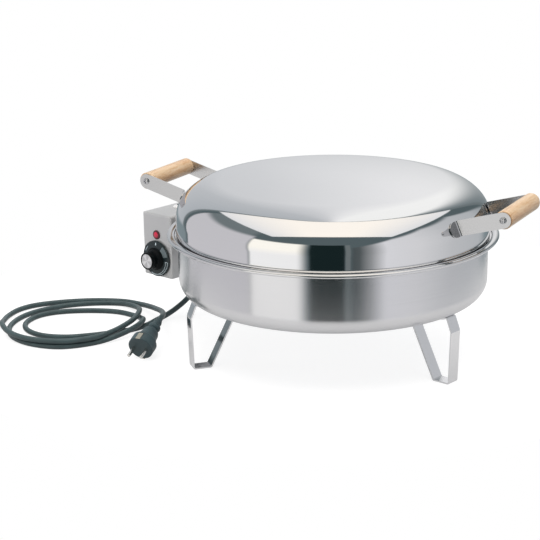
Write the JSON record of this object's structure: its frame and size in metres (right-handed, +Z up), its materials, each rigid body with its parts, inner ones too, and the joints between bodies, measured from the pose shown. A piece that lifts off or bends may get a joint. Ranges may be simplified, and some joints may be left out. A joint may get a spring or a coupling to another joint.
{
  "type": "electric table grill",
  "caption": "Round electric table grill: deep steel pan on strap legs, loose domed lid with wooden side handles, side control box with knob, lamp and reset button, and a mains cord.",
  "frame": {"origin": "pan's axis on the standing surface", "axes": "+Z up, +X away from the control box, -Y towards the side that the knob faces"},
  "size_m": [0.7755, 0.5004, 0.255],
  "materials": {
    "polished_steel": "polished stainless sheet",
    "satin_steel": "satin stainless sheet",
    "zinc_steel": "zinc plated",
    "leg_steel": "bright stainless bar",
    "element_tube": "heat tinted dark steel",
    "wire_steel": "bright chromed wire",
    "beech": "lacquered beech",
    "black_plastic": "black moulded plastic",
    "cut_out_plastic": "black heat-proof moulding",
    "cream_ceramic": "cream heat-proof moulding",
    "spun_aluminium": "radially spun",
    "lamp_bezel": "dark red plastic",
    "lamp_red": "clear red lens",
    "dome_chrome": "bright domed cap",
    "brass_gland": "turned brass",
    "black_rubber": "black moulded rubber",
    "earth_clip": "nickelled spring strip",
    "pin_steel": "nickelled pins"
  },
  "bodies": {
    "base": {"pan_shell": "polished_steel", "right_leg": "leg_steel", "front_leg": "leg_steel", "back_leg": "leg_steel", "leg_screws": "zinc_steel", "leg_nuts": "zinc_steel", "neck_housing": "satin_steel", "neck_rivets": "zinc_steel", "box_cover": "satin_steel", "box_base": "satin_steel", "box_screws": "zinc_steel", "thermostat_body": "cream_ceramic", "thermostat_bulb": "zinc_steel", "thermostat_nut": "zinc_steel", "lamp_bezel": "lamp_bezel", "lamp_lens": "lamp_red", "lamp_body": "cream_ceramic", "safety_cutout": "cut_out_plastic", "reset_bezel": "dome_chrome", "terminal_block": "cream_ceramic", "heating_element": "element_tube", "element_pins": "zinc_steel", "element_glands": "brass_gland", "element_brackets": "zinc_steel", "element_clips": "zinc_steel", "reflector_dish": "polished_steel", "grate_seats": "polished_steel", "strain_relief": "black_rubber", "mains_cord": "black_rubber", "plug_body": "black_rubber", "plug_pins": "pin_steel", "plug_earth_clips": "earth_clip"},
    "lid": {"lid_shell": "polished_steel", "left_handle_straps": "satin_steel", "right_handle_straps": "satin_steel", "left_handle_bar": "beech", "right_handle_bar": "beech", "handle_screws": "zinc_steel"},
    "grate": {"grill_grate": "wire_steel"},
    "knob": {"thermostat_shaft": "zinc_steel", "knob": "black_plastic", "knob_skirt": "black_plastic", "knob_insert": "spun_aluminium"},
    "reset": {"reset_button": "cut_out_plastic"}
  },
  "joints": [
    {"name": "lid_lift", "type": "slide", "parent": "base", "child": "lid", "axis": [0, 0, 1], "range_m": [0, 0.3]},
    {"name": "grate_lift", "type": "slide", "parent": "base", "child": "grate", "axis": [0, 0, 1], "range_m": [0, 0.04]},
    {"name": "knob_turn", "type": "hinge", "parent": "base", "child": "knob", "pos_m": [-0.275, -0.0747, 0.1038], "axis": [0, 1, 0], "range_deg": [0, 270]},
    {"name": "reset_press", "type": "slide", "parent": "base", "child": "reset", "axis": [0, 0, -1], "range_m": [0, 0.002], "stiffness_N_per_m": 400}
  ]
}
